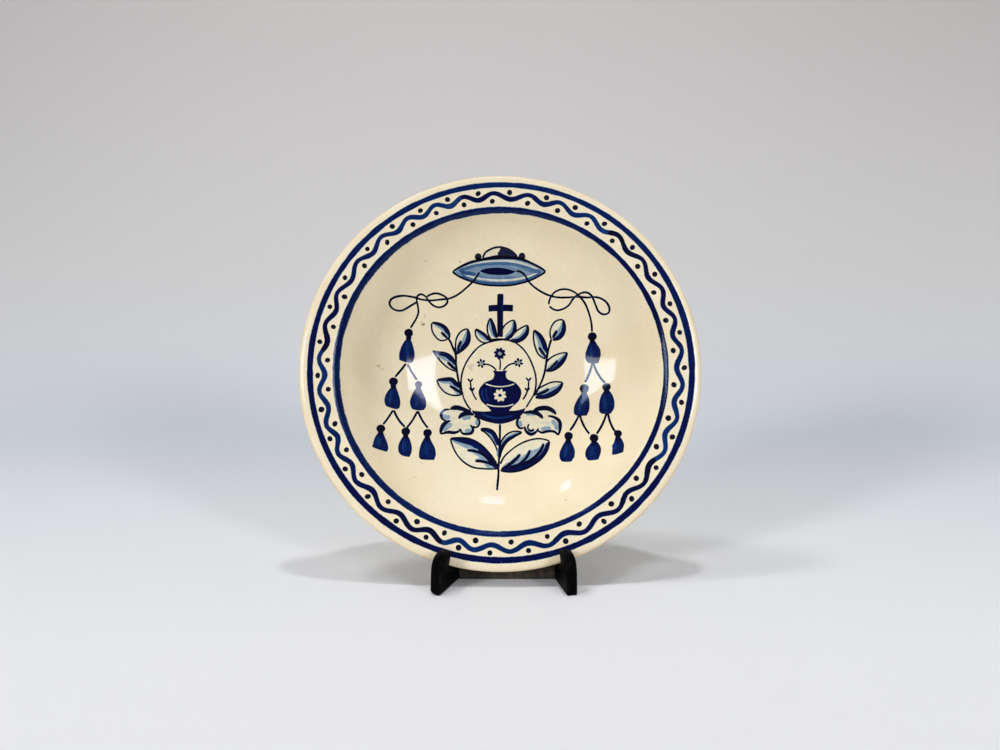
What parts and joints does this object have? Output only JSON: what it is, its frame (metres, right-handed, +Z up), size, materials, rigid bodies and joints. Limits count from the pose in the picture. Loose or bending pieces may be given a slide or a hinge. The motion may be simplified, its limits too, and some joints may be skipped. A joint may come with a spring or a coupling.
{
  "type": "soup plate",
  "caption": "Deep round tin-glazed plate with a wide flange and blue painting, held upright and leaning back in a small dark wooden plate stand.",
  "frame": {"origin": "on the table, under the middle of the whole", "axes": "+Z up, -Y out of the face of the plate towards the viewer, +X to the viewer's right"},
  "size_m": [0.25, 0.1128, 0.2461],
  "materials": {
    "glaze": "glossy cream tin glaze with cobalt blue painting",
    "dark_wood": "worn black stain on wood",
    "brown_wood": "dark brown wood, dull"
  },
  "bodies": {
    "stand": {"left_bracket": "dark_wood", "right_bracket": "dark_wood", "front_rail": "brown_wood", "rear_block": "dark_wood", "front_left_dowel": "brown_wood", "front_right_dowel": "brown_wood", "rear_lower_dowel": "brown_wood", "rear_upper_dowel": "brown_wood"},
    "plate": {"plate": "glaze"}
  },
  "joints": [
    {"name": "plate_lift", "type": "slide", "parent": "stand", "child": "plate", "axis": [0, 0.309, 0.9511], "range_m": [0, 0.16]}
  ]
}
